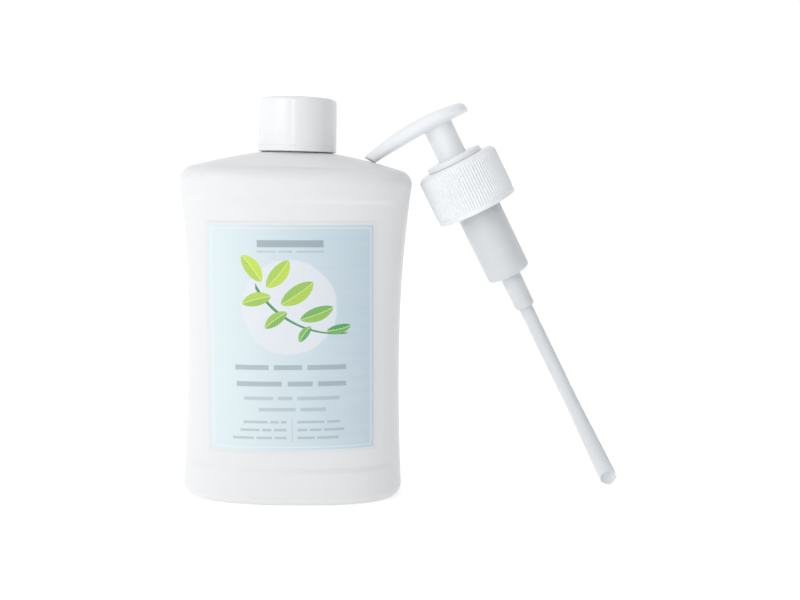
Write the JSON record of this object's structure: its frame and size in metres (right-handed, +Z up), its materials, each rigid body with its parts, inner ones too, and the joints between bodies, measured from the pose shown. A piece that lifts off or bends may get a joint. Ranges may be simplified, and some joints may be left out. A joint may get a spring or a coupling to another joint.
{
  "type": "lotion pump bottle",
  "caption": "Oval-section lotion bottle standing with its screw cap on, and its loose lotion pump leaning on the shoulder, spout on the bottle and dip tube on the table.",
  "frame": {"origin": "centre of the bottle's foot, on the surface that it stands on", "axes": "+Z up along the bottle's axis, +X towards the side on which the pump leans, -Y towards the front label"},
  "size_m": [0.1832, 0.048, 0.1586],
  "materials": {
    "bottle_white": "satin white polyethylene",
    "label_print": "printed film label, satin",
    "cap_white": "glossy white polypropylene",
    "liner_foam": "soft white foam",
    "pump_white": "glossy white polypropylene",
    "pump_clear": "translucent natural polypropylene",
    "pump_natural": "natural polyethylene",
    "spring_steel": "bright spring wire",
    "ball_steel": "polished ball"
  },
  "bodies": {
    "bottle": {"bottle": "bottle_white", "front_label": "label_print", "back_label": "label_print"},
    "liner": {"cap_liner": "liner_foam"},
    "cap": {"screw_cap": "cap_white"},
    "stem": {"stem": "pump_natural", "valve_plug": "pump_natural"},
    "head": {"actuator": "pump_white"},
    "piston": {"piston": "pump_natural"},
    "pump_body": {"pump_housing": "pump_clear", "lock_collar": "pump_white", "gasket": "liner_foam", "spring_seat": "pump_natural", "dip_tube": "pump_clear", "return_spring": "spring_steel"},
    "closure": {"closure_ring": "pump_white"},
    "ball": {"inlet_ball": "ball_steel"}
  },
  "joints": [
    {"name": "cap_lift", "type": "slide", "parent": "bottle", "child": "liner", "axis": [0, 0, 1], "range_m": [0, 0.0212]},
    {"name": "cap_turn", "type": "hinge", "parent": "liner", "child": "cap", "pos_m": [0, 0, 0.148], "axis": [0, 0, 1], "range_deg": [0, 1800]},
    {"name": "pump_lift", "type": "slide", "parent": "bottle", "child": "stem", "axis": [0, 0, 1], "range_m": [0, 0.2]},
    {"name": "head_turn", "type": "hinge", "parent": "stem", "child": "head", "pos_m": [0.06017, 0.00614, 0.14139], "axis": [-0.4699, -0.0329, 0.8821], "continuous": true},
    {"name": "valve_gap", "type": "slide", "parent": "stem", "child": "piston", "axis": [-0.4699, -0.0329, 0.8821], "range_m": [0, 0.0008]},
    {"name": "pump_press", "type": "slide", "parent": "stem", "child": "pump_body", "axis": [-0.4699, -0.0329, 0.8821], "range_m": [0, 0.011], "stiffness_N_per_m": 900, "springref_m": -0.008, "deforming": ["return_spring"]},
    {"name": "closure_turn", "type": "hinge", "parent": "pump_body", "child": "closure", "pos_m": [0.06863, 0.00673, 0.12551], "axis": [-0.4699, -0.0329, 0.8821], "continuous": true},
    {"name": "ball_rise", "type": "slide", "parent": "pump_body", "child": "ball", "axis": [-0.4699, -0.0329, 0.8821], "range_m": [0, 0.0015]}
  ],
  "couplings": [
    {"joint": "cap_lift", "follows": "cap_turn", "m_per_rad": 0.0006737}
  ]
}
